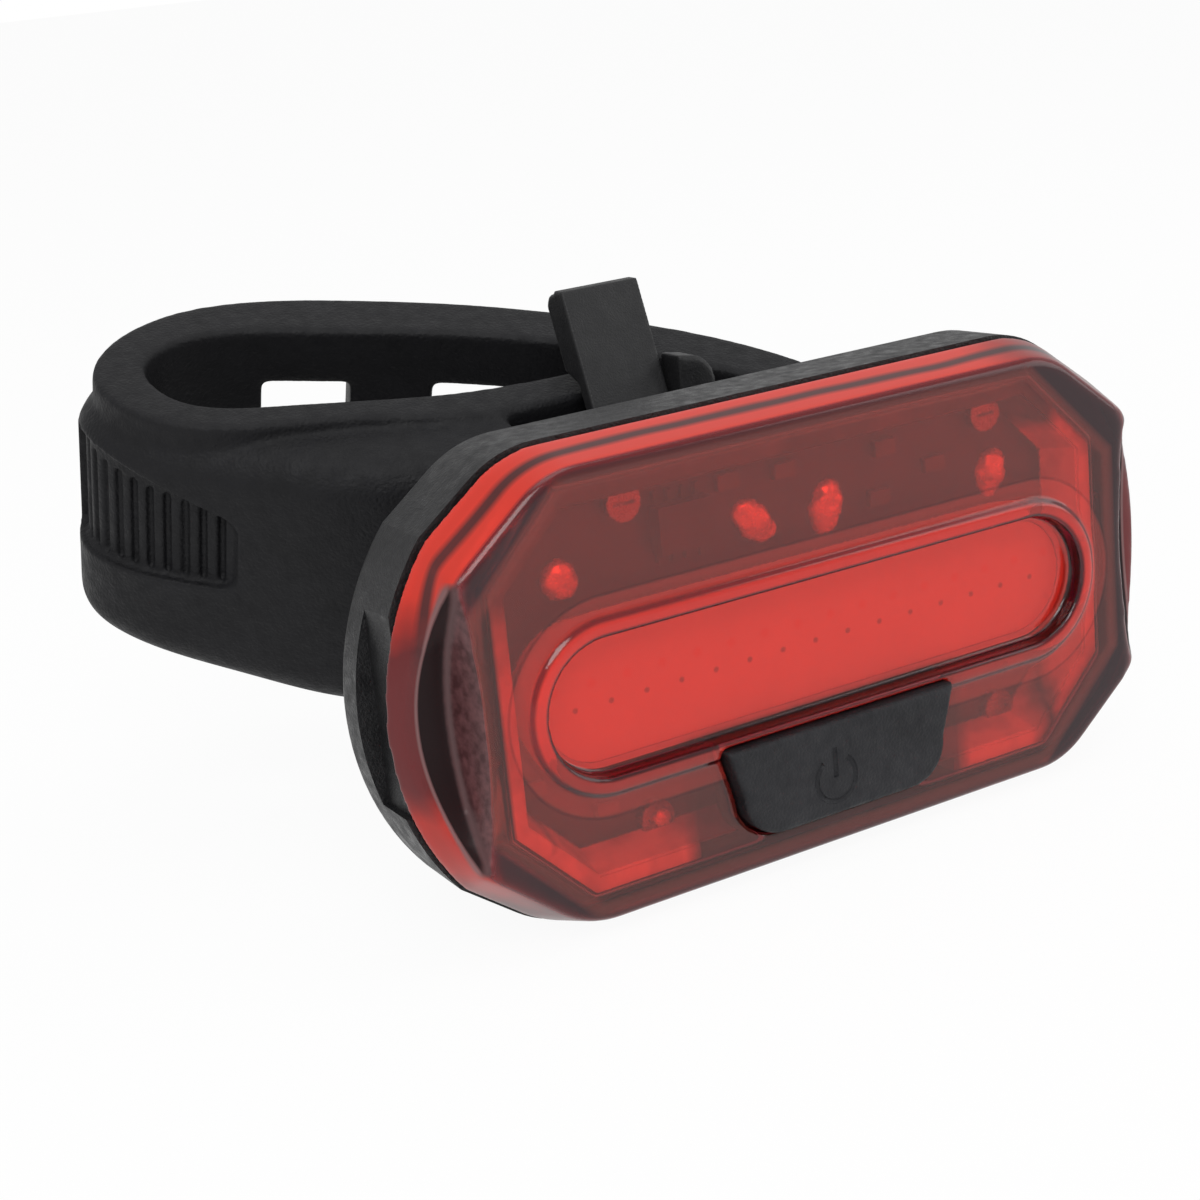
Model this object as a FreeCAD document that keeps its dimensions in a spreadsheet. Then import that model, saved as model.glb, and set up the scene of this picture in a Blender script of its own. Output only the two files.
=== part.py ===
import FreeCAD, Part
import math
import os

from FreeCAD import Placement, Rotation, Vector

# Bicycle tail light with a rubber seat post strap.
# Row frame: +Z up, +Y forward into the bicycle, +X to the rider's right, millimetres.
# The origin lies on the rubber saddle, at the middle of the face that bears on the seat post.
# The seat post leans back, so the strap and the bracket's rear face are tilted with it.
# Lamp pieces are drawn about the middle of the lens face, with depth counted along +Y.

doc = FreeCAD.newDocument("TailLight")
sheet = doc.addObject("Spreadsheet::Sheet", "Sizes")

SIZES = (
    ("lamp_back", 15.1, "back of the lamp in front of the saddle"),
    ("lamp_drop", 6.5, "lamp centre below the saddle"),
    ("post_tilt", 20.0, "lean of the seat post in degrees"),
    ("case_half_long", 36.9, "half length of the case at the lens edge"),
    ("case_half_high", 19.0, "half height of the case at the lens edge"),
    ("face_half_long", 33.0, "half length of the lens face"),
    ("face_half_high", 17.67, "half height of the lens face"),
    ("lens_depth", 5.1, "depth of the lens skirt"),
    ("lens_wall", 2.2, "thickness of the lens face"),
    ("lens_round", 0.8, "rounding of the lens face edge"),
    ("rim_depth", 12.35, "depth at the back of the case rim"),
    ("case_wall", 1.3, "thickness of the battery hump"),
    ("hump_wall", 1.85, "wall above and below the cells"),
    ("seam_gap", 0.3, "gap between lens and case"),
    ("fit_gap", 0.3, "gap between pieces that move apart"),
    ("snug_gap", 0.05, "gap between pieces that stay together"),
    ("window_half", 20.57, "half straight length of the window"),
    ("window_radius", 5.4, "end radius of the window"),
    ("window_drop", 0.78, "window centre below the lamp centre"),
    ("lip_width", 1.34, "width of the raised lip round the window"),
    ("lip_rise", 0.5, "height of the lip above the face"),
    ("window_recess", 1.0, "depth of the window below the face"),
    ("scallop_in", 30.9, "inner edge of a scallop at its middle"),
    ("scallop_slope", 1.1, "run of a scallop's slanted inner wall"),
    ("scallop_half_high", 11.0, "half height of a scallop"),
    ("scallop_deep", 3.8, "depth of a scallop at its middle"),
    ("seal_front", 4.35, "depth where the seal groove starts"),
    ("seal_inset", 0.8, "seal inside the lens edge"),
    ("seal_width", 0.8, "width of the seal"),
    ("bay_half_long", 29.3, "half length of the hollow behind the lens"),
    ("bay_half_high", 16.2, "half height of the hollow behind the lens"),
    ("bay_corner", 6.5, "cut corner of the hollow"),
    ("frame_wall", 1.2, "wall of the inner frame"),
    ("board_front", 6.4, "depth of the board's front face"),
    ("board_thick", 1.2, "thickness of the board"),
    ("cell_radius", 5.25, "radius of an AAA cell"),
    ("cell_long", 44.5, "length of an AAA cell with its stud"),
    ("stud_radius", 1.9, "radius of the cell's stud"),
    ("stud_long", 1.0, "length of the cell's stud"),
    ("cell_gap", 0.55, "clearance between the board and the cells"),
    ("cell_play", 0.25, "clearance between the cells and the case"),
    ("spring_long", 5.1, "length of a pressed contact spring"),
    ("plate_thick", 0.4, "thickness of the contact sheet"),
    ("dimple_rise", 0.5, "height of the dimple that meets a stud"),
    ("button_rise", 1.2, "height of the button above the lens face"),
    ("button_top", 7.0, "top edge of the button below the lamp centre"),
    ("button_bottom", 14.8, "bottom edge of the button below the lamp centre"),
    ("button_half_wide", 11.2, "half width of the button at its top"),
    ("button_travel", 0.8, "travel of the button"),
    ("strap_half_wide", 11.1, "half width of the strap"),
    ("saddle_thick", 4.3, "thickness of the strap on the bracket"),
    ("slot_long", 7.9, "length of a ladder slot"),
    ("slot_high", 11.4, "height of a ladder slot"),
    ("slot_pitch", 15.3, "pitch of the ladder slots"),
    ("grip_deep", 0.8, "depth of the grip recess"),
    ("groove_wide", 0.65, "width of a grip groove"),
    ("rail_half_wide", 7.5, "half width of the case's rail"),
    ("rail_thick", 1.8, "thickness of the rail's head"),
    ("neck_half_wide", 4.0, "half width of the rail's neck"),
    ("neck_long", 1.4, "length of the rail's neck"),
    ("rail_top", 5.0, "top of the rail above the row's origin"),
    ("rail_bottom", 18.5, "bottom of the rail below the row's origin"),
    ("bracket_half_wide", 9.4, "half width of the bracket"),
    ("lever_wide", 7.7, "width of the release lever"),
    ("lever_middle", -0.6, "middle of the release lever across the lamp"),
    ("lever_thick", 1.5, "thickness of the lever's stem"),
    ("lever_top", 18.5, "top of the lever above the origin"),
)

DERIVED = (
    ("cell_rise", "=cell_radius + cell_gap / 2 + snug_gap", "cell centre above or below the lamp centre"),
    ("cell_depth", "=board_front + board_thick + cell_gap + cell_radius", "depth of the cell centres"),
    ("case_depth", "=cell_depth + cell_radius + cell_play + case_wall", "depth at the back of the hump"),
    ("plate_out", "=(cell_long + spring_long + dimple_rise) / 2 + plate_thick + snug_gap",
     "contact sheets from the lamp centre"),
    ("lamp_front", "=lamp_back + case_depth", "lens face in front of the saddle"),
)

size = {}
for row, (name, value, meaning) in enumerate(SIZES + DERIVED, start=1):
    sheet.set("A%d" % row, name)
    sheet.set("B%d" % row, str(value))
    sheet.setAlias("B%d" % row, name)
    sheet.set("C%d" % row, meaning)
doc.recompute()
for name, value, meaning in SIZES + DERIVED:
    size[name] = float(sheet.get(name))

LAMP_AT = Placement(Vector(0, -size["lamp_front"], -size["lamp_drop"]), Rotation())
POST_AT = Placement(Vector(), Rotation(Vector(1, 0, 0), size["post_tilt"]))


# Helpers for bodies, sketches and features

def new_body(label, place=Placement()):
    body = doc.addObject("PartDesign::Body", label)
    body.Label = label
    body.Placement = place
    return body


def new_sketch(body, role, lift=0.0):
    """A sketch parallel to one origin plane of its own body, lifted along the plane's normal."""
    sketch = body.newObject("Sketcher::SketchObject", "Sketch")
    plane = [feature for feature in body.Origin.OriginFeatures if feature.Role == role][0]
    sketch.AttachmentSupport = [(plane, "")]
    sketch.MapMode = "FlatFace"
    sketch.AttachmentOffset = Placement(Vector(0, 0, lift), Rotation())
    return sketch


def at_depth(body, depth):
    """A sketch across the lamp, at a depth behind the lens face."""
    return new_sketch(body, "XZ_Plane", -depth)


def sized(feature, prop, amount):
    """Set a length from a number or bind it to an expression of the sheet."""
    if isinstance(amount, str):
        feature.setExpression(prop, amount)
    else:
        setattr(feature, prop, amount)


def pad(body, sketch, length, backward=True):
    feature = body.newObject("PartDesign::Pad", "Pad")
    feature.Profile = sketch
    sized(feature, "Length", length)
    feature.Reversed = backward
    doc.recompute()
    return feature


def pocket(body, sketch, length, backward=True):
    """Cut from the sketch; backward cuts towards +Y on a sketch across the lamp."""
    volume = body.Shape.Volume
    feature = body.newObject("PartDesign::Pocket", "Pocket")
    feature.Profile = sketch
    sized(feature, "Length", length)
    feature.Reversed = not backward
    doc.recompute()
    if body.Shape.Volume > volume - 1e-4:
        raise ValueError("nothing was cut from " + body.Label)
    return feature


def loft(body, front, back):
    """Join two outlines across the lamp, from the rear one to the front one."""
    feature = body.newObject("PartDesign::AdditiveLoft", "Loft")
    feature.Profile = back
    feature.Sections = [front]
    doc.recompute()
    return feature


def round_edges(body, radius, wanted):
    """Fillet the edges of the tip that the test picks by their middle points."""
    base = body.Tip
    names = []
    for index, edge in enumerate(base.Shape.Edges, start=1):
        middle = edge.valueAt((edge.FirstParameter + edge.LastParameter) / 2)
        if wanted(edge, middle):
            names.append("Edge%d" % index)
    feature = body.newObject("PartDesign::Fillet", "Fillet")
    feature.Base = (base, names)
    sized(feature, "Radius", radius)
    doc.recompute()
    if not feature.Shape.isValid():
        raise ValueError("the fillet failed on " + body.Label)
    return feature


# Outlines

def chain(sketch, start, *runs):
    """Lines (end) and arcs (middle, end) one after the other, closed back to the start."""
    here = Vector(*start, 0)
    for run in runs:
        if isinstance(run[0], tuple):
            end = Vector(*run[1], 0)
            sketch.addGeometry(Part.Arc(here, Vector(*run[0], 0), end))
        else:
            end = Vector(*run, 0)
            sketch.addGeometry(Part.LineSegment(here, end))
        here = end
    if here.distanceToPoint(Vector(*start, 0)) > 1e-6:
        sketch.addGeometry(Part.LineSegment(here, Vector(*start, 0)))


def rectangle(sketch, left, bottom, right, top):
    chain(sketch, (left, bottom), (right, bottom), (right, top), (left, top))


def cut_rectangle(sketch, half_long, half_high, corner):
    """A rectangle with its four corners cut off at 45 degrees."""
    short = half_long - corner
    low = half_high - corner
    chain(sketch, (-short, -half_high), (short, -half_high), (half_long, -low), (half_long, low),
          (short, half_high), (-short, half_high), (-half_long, low), (-half_long, -low))


def stadium(sketch, half_straight, radius, middle=0.0):
    top = middle + radius
    bottom = middle - radius
    chain(sketch, (-half_straight, bottom), (half_straight, bottom),
          ((half_straight + radius, middle), (half_straight, top)),
          (-half_straight, top), ((-half_straight - radius, middle), (-half_straight, bottom)))


def circle(sketch, radius, across=0.0, up=0.0):
    sketch.addGeometry(Part.Circle(Vector(across, up, 0), Vector(0, 0, 1), radius))


def lamp_outline(sketch, half_long, half_high, flat, shoulder, slant, end_high):
    """Flat top, round shoulder, slanted run and bowed end, the same in all four quarters."""
    angle = math.radians(slant)
    half = angle / 2
    knee = (flat + shoulder * math.sin(half), half_high - shoulder * (1 - math.cos(half)))
    drop = (flat + shoulder * math.sin(angle), half_high - shoulder * (1 - math.cos(angle)))
    end = (drop[0] + (drop[1] - end_high) / math.tan(angle), end_high)

    def mirrored(point, across, up):
        return (point[0] * across, point[1] * up)

    chain(sketch, (-flat, half_high), (flat, half_high), (knee, drop), end,
          ((half_long, 0), mirrored(end, 1, -1)), mirrored(drop, 1, -1),
          (mirrored(knee, 1, -1), (flat, -half_high)), (-flat, -half_high),
          (mirrored(knee, -1, -1), mirrored(drop, -1, -1)), mirrored(end, -1, -1),
          ((-half_long, 0), mirrored(end, -1, 1)), mirrored(drop, -1, 1),
          (mirrored(knee, -1, 1), (-flat, half_high)))


FACE_SHAPE = dict(flat=21.3, shoulder=7.4, slant=38.7, end_high=10.7)
CASE_SHAPE = dict(flat=21.8, shoulder=9.6, slant=36.6, end_high=13.8)


def face_outline(sketch, inset=0.0):
    lamp_outline(sketch, size["face_half_long"] - inset, size["face_half_high"] - inset, **FACE_SHAPE)


def case_outline(sketch, inset=0.0):
    lamp_outline(sketch, size["case_half_long"] - inset, size["case_half_high"] - inset, **CASE_SHAPE)


def skirt_outline(sketch, depth, inset=0.0):
    """The lens skirt's outline at a depth, between its face and its edge."""
    share = depth / size["lens_depth"]
    shape = {key: FACE_SHAPE[key] * (1 - share) + CASE_SHAPE[key] * share for key in FACE_SHAPE}
    long = size["face_half_long"] * (1 - share) + size["case_half_long"] * share
    high = size["face_half_high"] * (1 - share) + size["case_half_high"] * share
    lamp_outline(sketch, long - inset, high - inset, **shape)


def button_outline(sketch, grow=0.0):
    """A trapezoid under the window with round lower corners."""
    top = -size["button_top"] + min(grow, size["fit_gap"])
    bottom = -size["button_bottom"] - grow
    wide = size["button_half_wide"] + grow
    knee_high = -11.2
    knee = size["button_half_wide"] - 1.3 + grow
    foot = size["button_half_wide"] - 4.6 + grow
    bend = (knee - 0.9, -13.7 - grow * 0.7)
    chain(sketch, (-wide, top), (wide, top), (knee, knee_high), (bend, (foot, bottom)),
          (-foot, bottom), ((-bend[0], bend[1]), (-knee, knee_high)))


# Lens

BUTTON_GAP = 0.2
LUG_IN = size["bay_half_long"] + 1.0
LUG_THICK = 1.1
LUG_HALF = 4.0
LUG_LONG = 2.6


def scoop_end(body, side):
    """A finger scoop swept about an axis in front of the face, with a slanted inner wall."""
    deep = size["scallop_deep"]
    sweep = (size["scallop_half_high"] ** 2 + deep ** 2) / (2 * deep)
    section = new_sketch(body, "XY_Plane")
    inner = side * size["scallop_in"]
    valley = side * (size["scallop_in"] + size["scallop_slope"])
    outer = side * (size["case_half_long"] + 3)
    above = inner - side * size["scallop_slope"] / deep
    chain(section, (above, -1.0), (inner, 0), (valley, deep), (outer, deep), (outer, -1.0))
    axis = body.newObject("PartDesign::Line", "SweepAxis")
    axis.Placement = Placement(Vector(0, deep - sweep, 0), Rotation(Vector(0, 1, 0), 90))
    scoop = body.newObject("PartDesign::Groove", "Scoop")
    scoop.Profile = section
    scoop.ReferenceAxis = (axis, [""])
    scoop.Angle = 360
    doc.recompute()
    if not scoop.Shape.isValid():
        raise ValueError("the scoop failed on " + body.Label)


def make_lens():
    body = new_body("front_lens", LAMP_AT)
    front = at_depth(body, 0)
    face_outline(front)
    back = at_depth(body, size["lens_depth"])
    case_outline(back)
    loft(body, front, back)
    round_edges(body, "Sizes.lens_round", lambda edge, middle: abs(middle.y) < 1e-3)

    lip = at_depth(body, -size["lip_rise"])
    stadium(lip, size["window_half"], size["window_radius"] + size["lip_width"], -size["window_drop"])
    pad(body, lip, "2 * Sizes.lip_rise")
    window = at_depth(body, -1)
    stadium(window, size["window_half"], size["window_radius"], -size["window_drop"])
    pocket(body, window, "1 + Sizes.window_recess")

    hollow = at_depth(body, size["lens_wall"])
    cut_rectangle(hollow, size["bay_half_long"], size["bay_half_high"], size["bay_corner"])
    pocket(body, hollow, "Sizes.lens_depth")
    opening = at_depth(body, -1)
    button_outline(opening, BUTTON_GAP)
    pocket(body, opening, "2 + Sizes.lens_wall")

    for side in (-1, 1):
        scoop_end(body, side)

    groove = at_depth(body, size["seal_front"])
    skirt_outline(groove, size["seal_front"], size["seal_inset"] - size["snug_gap"])
    skirt_outline(groove, size["seal_front"],
                  size["seal_inset"] + size["seal_width"] + size["snug_gap"])
    pocket(body, groove, "Sizes.lens_depth")

    lugs = at_depth(body, size["lens_depth"] - 0.5)
    for side in (-1, 1):
        inner, outer = sorted((side * LUG_IN, side * (LUG_IN + LUG_THICK)))
        rectangle(lugs, inner, -LUG_HALF, outer, LUG_HALF)
    pad(body, lugs, 0.5 + LUG_LONG)
    return body


def make_seal():
    body = new_body("lens_gasket", LAMP_AT)
    ring = at_depth(body, size["seal_front"] + size["snug_gap"])
    skirt_outline(ring, size["seal_front"], size["seal_inset"])
    skirt_outline(ring, size["seal_front"], size["seal_inset"] + size["seal_width"])
    pad(body, ring, "Sizes.lens_depth + Sizes.seam_gap - Sizes.seal_front - 2 * Sizes.snug_gap")
    return body


# Electronics in front of the board

TRAY_WALL = 0.7
TRAY_FRONT = 2.5
COB_FRONT = 3.5
COB_THICK = 0.8
DIE_THICK = 0.15
GEL_FRONT = 2.6


def make_tray():
    """White tray that carries the light strip in front of the board."""
    body = new_body("reflector_tray", LAMP_AT)
    outline = at_depth(body, TRAY_FRONT)
    stadium(outline, size["window_half"], size["window_radius"] + 0.2, -size["window_drop"])
    pad(body, outline, size["board_front"] - size["snug_gap"] - TRAY_FRONT)
    well = at_depth(body, TRAY_FRONT - 1)
    stadium(well, size["window_half"], size["window_radius"] + 0.2 - TRAY_WALL, -size["window_drop"])
    pocket(body, well, 1 + COB_FRONT + COB_THICK + size["snug_gap"] - TRAY_FRONT)
    return body


def strip_layer(label, front, thick, inset):
    body = new_body(label, LAMP_AT)
    outline = at_depth(body, front)
    radius = size["window_radius"] + 0.2 - TRAY_WALL - inset
    stadium(outline, size["window_half"], radius, -size["window_drop"])
    pad(body, outline, thick)
    return body


def make_dies():
    """Two staggered rows of dies on the strip."""
    pitch = 3.2
    body_boxes = []
    for row_up, count in ((-0.4, 15), (1.4, 14)):
        for index in range(count):
            die = doc.addObject("Part::Box", "Die")
            die.Length = 0.7
            die.Width = DIE_THICK
            die.Height = 0.4
            across = (index - (count - 1) / 2) * pitch
            die.Placement = Placement(Vector(across - 0.35, COB_FRONT - DIE_THICK - 0.02,
                                             row_up - size["window_drop"] - 0.2), Rotation())
            body_boxes.append(die)
    return group("led_dies", body_boxes)


def group(label, pieces, place=LAMP_AT):
    """Equal small pieces kept as separate solids of one node."""
    node = doc.addObject("Part::Compound", label)
    node.Label = label
    node.Links = pieces
    node.Placement = place
    doc.recompute()
    return node


SCREW_SPOTS = ((-15.0, 12.9), (20.5, 12.9), (-14.6, -12.9), (20.5, -12.9))
SCREW_RADIUS = 0.8
SCREW_LONG = 3.6


def make_board():
    body = new_body("circuit_board", LAMP_AT)
    outline = at_depth(body, size["board_front"])
    inset = size["frame_wall"] + 0.6
    cut_rectangle(outline, size["bay_half_long"] - inset, size["bay_half_high"] - inset,
                  size["bay_corner"])
    for across, up in SCREW_SPOTS:
        circle(outline, SCREW_RADIUS + 0.15, across, up)
    pad(body, outline, "Sizes.board_thick")
    return body


def make_frame():
    """Ring that stands round the board, with bosses behind it."""
    body = new_body("inner_frame", LAMP_AT)
    long = size["bay_half_long"] - 0.3
    high = size["bay_half_high"] - 0.3
    wall = size["frame_wall"]
    ring = at_depth(body, size["lens_wall"] + 0.3)
    cut_rectangle(ring, long, high, size["bay_corner"])
    cut_rectangle(ring, long - wall, high - wall, size["bay_corner"] - wall * 0.586)
    board_back = size["board_front"] + size["board_thick"]
    pad(body, ring, board_back + 1.2 - size["lens_wall"] - 0.3)
    ledge = at_depth(body, board_back + size["snug_gap"])
    cut_rectangle(ledge, long, high, size["bay_corner"])
    cut_rectangle(ledge, long - 3.0, high - 4.2, size["bay_corner"] - 1.8)
    pad(body, ledge, 1.15)
    bosses = at_depth(body, board_back + size["snug_gap"])
    for across, up in SCREW_SPOTS:
        circle(bosses, 1.6, across, up)
    pad(body, bosses, SCREW_LONG)
    holes = at_depth(body, board_back - 1)
    for across, up in SCREW_SPOTS:
        circle(holes, SCREW_RADIUS + 0.02, across, up)
    pocket(body, holes, SCREW_LONG)
    notch = at_depth(body, size["lens_wall"])
    rectangle(notch, -size["button_half_wide"] - 1.6, -20, size["button_half_wide"] + 1.6, -10)
    pocket(body, notch, size["board_front"] - size["lens_wall"])
    return body


def make_screws():
    screws = []
    for across, up in SCREW_SPOTS:
        head = doc.addObject("Part::Cylinder", "Head")
        head.Radius = 1.5
        head.Height = 0.9
        shank = doc.addObject("Part::Cylinder", "Shank")
        shank.Radius = SCREW_RADIUS
        shank.Height = SCREW_LONG
        facing = Rotation(Vector(1, 0, 0), -90)
        front = size["board_front"] - size["snug_gap"]
        head.Placement = Placement(Vector(across, front - 0.9, up), facing)
        shank.Placement = Placement(Vector(across, front, up), facing)
        slot = doc.addObject("Part::Box", "Drive")
        slot.Length = 1.8
        slot.Width = 0.4
        slot.Height = 0.35
        slot.Placement = Placement(Vector(across - 0.9, front - 1.0, up - 0.175), Rotation())
        whole = doc.addObject("Part::Fuse", "Whole")
        whole.Base = head
        whole.Tool = shank
        screw = doc.addObject("Part::Cut", "Screw")
        screw.Base = whole
        screw.Tool = slot
        screws.append(screw)
    return group("board_screws", screws)


SOLDER_SPOTS = ((-20.4, 8.1, 1.5), (-2.2, 8.4, 1.7), (5.0, 8.5, 1.7), (21.9, 7.9, 1.1))


def make_solder():
    blobs = []
    for across, up, radius in SOLDER_SPOTS:
        blob = doc.addObject("Part::Sphere", "Blob")
        blob.Radius = radius
        blob.Angle1 = 0
        blob.Placement = Placement(Vector(across, size["board_front"] - size["snug_gap"], up),
                                   Rotation(Vector(1, 0, 0), 90))
        blobs.append(blob)
    return group("solder_joints", blobs)


def make_chip():
    """Flash controller with four legs on each long side."""
    body = new_body("controller_chip", LAMP_AT)
    case = at_depth(body, 4.7)
    rectangle(case, -12.5, 8.2, -7.5, 12.0)
    pad(body, case, 1.4)
    legs = at_depth(body, 5.9)
    for index in range(4):
        left = -12.1 + index * 1.27
        rectangle(legs, left, 7.2, left + 0.4, 13.0)
    pad(body, legs, size["board_front"] - size["snug_gap"] - 5.9)
    return body


CHIP_SPOTS = ((-5.2, 12.4), (0.2, 12.2), (9.4, 8.0), (10.2, 12.0), (15.2, 9.6), (-18.8, -10.8),
              (16.2, -10.6), (22.6, -8.6), (-25.0, -7.6))


def make_chips():
    chips = []
    for across, up in CHIP_SPOTS:
        chip = doc.addObject("Part::Box", "Chip")
        chip.Length = 2.0
        chip.Width = 0.6
        chip.Height = 1.25
        chip.Placement = Placement(Vector(across - 1.0, size["board_front"] - size["snug_gap"] - 0.6,
                                          up - 0.6), Rotation())
        chips.append(chip)
    return group("chip_parts", chips)


# Button and switch

FLANGE_FRONT = 2.5
FLANGE_THICK = 0.6
BOSS_END = 3.5
SWITCH_UP = -11.0
SWITCH_FRONT = 4.4
PLUNGER_RADIUS = 1.6


def make_button():
    body = new_body("power_button", LAMP_AT)
    cap = at_depth(body, -size["button_rise"])
    button_outline(cap)
    pad(body, cap, size["button_rise"] + FLANGE_FRONT)
    round_edges(body, 0.5, lambda edge, middle: abs(middle.y + size["button_rise"]) < 1e-3)
    flange = at_depth(body, FLANGE_FRONT)
    button_outline(flange, 0.7)
    pad(body, flange, FLANGE_THICK)
    boss = at_depth(body, FLANGE_FRONT)
    circle(boss, PLUNGER_RADIUS, 0, SWITCH_UP)
    pad(body, boss, BOSS_END - FLANGE_FRONT)
    return body


def make_switch():
    body = new_body("switch_body", LAMP_AT)
    case = at_depth(body, SWITCH_FRONT)
    rectangle(case, -3, SWITCH_UP - 3, 3, SWITCH_UP + 3)
    pad(body, case, size["board_front"] - size["snug_gap"] - SWITCH_FRONT)
    well = at_depth(body, SWITCH_FRONT - 1)
    circle(well, PLUNGER_RADIUS + 0.1, 0, SWITCH_UP)
    pocket(body, well, 2.75)
    return body


def make_plunger():
    body = new_body("switch_plunger", LAMP_AT)
    tip = at_depth(body, BOSS_END + size["fit_gap"])
    circle(tip, PLUNGER_RADIUS, 0, SWITCH_UP)
    pad(body, tip, 1.4)
    return body


# Case, cells and contacts

CATCH_HALF = 2.2
FRAME_SEAT = 9.1
COIN_LOW = -7.0
COIN_HIGH = 8.5
COIN_DEEP = 1.8
COIN_WIDE = 4.3


def make_case():
    body = new_body("rear_case", LAMP_AT)
    front = at_depth(body, size["lens_depth"] + size["seam_gap"])
    case_outline(front)
    back = at_depth(body, size["rim_depth"])
    case_outline(back, 0.25)
    loft(body, front, back)
    round_edges(body, 0.8, lambda edge, middle: abs(middle.y - size["rim_depth"]) < 1e-3)

    hump = at_depth(body, size["rim_depth"] - 1)
    high = size["cell_rise"] + size["cell_radius"] + 0.3
    cut_rectangle(hump, size["plate_out"] + 2.0, high + size["hump_wall"], 3.0)
    pad(body, hump, "Sizes.case_depth - Sizes.rim_depth + 1")
    round_edges(body, 2.0, lambda edge, middle: abs(middle.y - size["case_depth"]) < 1e-3)

    seat = at_depth(body, size["lens_depth"])
    cut_rectangle(seat, size["bay_half_long"], size["bay_half_high"], size["bay_corner"])
    pocket(body, seat, FRAME_SEAT - size["lens_depth"])
    wells = at_depth(body, FRAME_SEAT - 0.5)
    for across, up in SCREW_SPOTS:
        circle(wells, 1.9, across, up)
    pocket(body, wells, 2.9)
    bay = at_depth(body, FRAME_SEAT - 0.5)
    rectangle(bay, -size["plate_out"] - 0.1, -high, size["plate_out"] + 0.1, high)
    pocket(body, bay, size["case_depth"] - size["case_wall"] - FRAME_SEAT + 0.5)

    lug_wells = at_depth(body, size["lens_depth"])
    for side in (-1, 1):
        inner, outer = sorted((side * (LUG_IN - 0.3), side * (LUG_IN + LUG_THICK + 0.3)))
        rectangle(lug_wells, inner, -LUG_HALF - 0.3, outer, LUG_HALF + 0.3)
    pocket(body, lug_wells, LUG_LONG + 0.4)

    coin_slot = at_depth(body, size["lens_depth"])
    end = -size["case_half_long"]
    rectangle(coin_slot, end - 1, COIN_LOW, end + COIN_DEEP, COIN_HIGH)
    pocket(body, coin_slot, COIN_WIDE)

    neck = at_depth(body, size["case_depth"] - 0.5)
    top = size["rail_top"] + size["lamp_drop"]
    bottom = size["lamp_drop"] - size["rail_bottom"]
    rectangle(neck, -size["neck_half_wide"], bottom, size["neck_half_wide"], top)
    pad(body, neck, "0.5 + Sizes.neck_long")
    head = at_depth(body, size["case_depth"] + size["neck_long"])
    rectangle(head, -size["rail_half_wide"], bottom, size["rail_half_wide"], top)
    pad(body, head, "Sizes.rail_thick")
    catch_groove = at_depth(body, size["case_depth"] + size["neck_long"] + size["rail_thick"] - 0.8)
    middle = size["lever_middle"]
    rectangle(catch_groove, middle - CATCH_HALF - 0.4, bottom - 1, middle + CATCH_HALF + 0.4, top - 0.8)
    pocket(body, catch_groove, 2)
    return body


def make_cell(label, up, side):
    """An AAA cell lying across the lamp with its stud to one side."""
    body = new_body(label, Placement(LAMP_AT.Base + Vector(0, size["cell_depth"], up),
                                     Rotation(Vector(0, 0, 1), 0 if side > 0 else 180)))
    section = new_sketch(body, "XY_Plane")
    stud_end = size["plate_out"] - size["plate_thick"] - size["dimple_rise"] - size["snug_gap"]
    can_end = stud_end - size["stud_long"]
    start = stud_end - size["cell_long"]
    radius = size["cell_radius"]
    edge = 0.4
    chain(section, (start, 0), (start, radius - edge), (start + edge, radius), (can_end - edge, radius),
          (can_end, radius - edge), (can_end, size["stud_radius"]), (stud_end, size["stud_radius"]),
          (stud_end, 0))
    turn = body.newObject("PartDesign::Revolution", "Revolution")
    turn.Profile = section
    turn.ReferenceAxis = (section, ["H_Axis"])
    turn.Angle = 360
    doc.recompute()
    return body


def make_springs():
    """Negative coils: upper cell at the left, lower cell at the right."""
    coils = []
    wire = 0.35
    for side, up in ((-1, size["cell_rise"]), (1, -size["cell_rise"])):
        start = size["plate_out"] - size["plate_thick"] - size["snug_gap"]
        pitch = (size["spring_long"] - 3 * wire) / 3
        height = pitch * 3
        helix = Part.makeHelix(pitch, height, 2.6)
        profile = Part.Wire([Part.Circle(Vector(2.6, 0, 0), Vector(0, 1, 0), wire).toShape()])
        coil = Part.Wire(helix.Edges).makePipeShell([profile], True, True)
        spring = doc.addObject("Part::Feature", "Coil")
        spring.Shape = coil
        turn = Rotation(Vector(0, 1, 0), 90 if side < 0 else -90)
        spring.Placement = Placement(Vector(side * start, size["cell_depth"], up), turn)
        spring.Placement.move(Vector(-side * wire, 0, 0))
        coils.append(spring)
    return group("contact_springs", coils)


def sheet_half():
    return size["cell_radius"] * 0.8


def contact_sheet(body, side, low, high):
    """A sheet against the end wall of the bay, cut from spring steel."""
    flat = new_sketch(body, "YZ_Plane", side * size["plate_out"])
    depth = size["cell_depth"]
    half = sheet_half()
    rectangle(flat, depth - half, low, depth + half, high)
    return pad(body, flat, "Sizes.plate_thick", side > 0)


def dimple(body, side, up):
    spot = new_sketch(body, "YZ_Plane", side * (size["plate_out"] - size["plate_thick"]))
    circle(spot, 1.6, size["cell_depth"], up)
    return pad(body, spot, "Sizes.dimple_rise", side > 0)


def make_contacts():
    """Right end: a sheet with a dimple for the upper stud and one that holds the lower spring."""
    half = sheet_half()
    upper = new_body("Upper")
    contact_sheet(upper, 1, size["cell_rise"] - half, size["cell_rise"] + half)
    dimple(upper, 1, size["cell_rise"])
    lower = new_body("Lower")
    contact_sheet(lower, 1, -size["cell_rise"] - half, -size["cell_rise"] + half)
    return group("contact_plates", [upper, lower])


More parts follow.
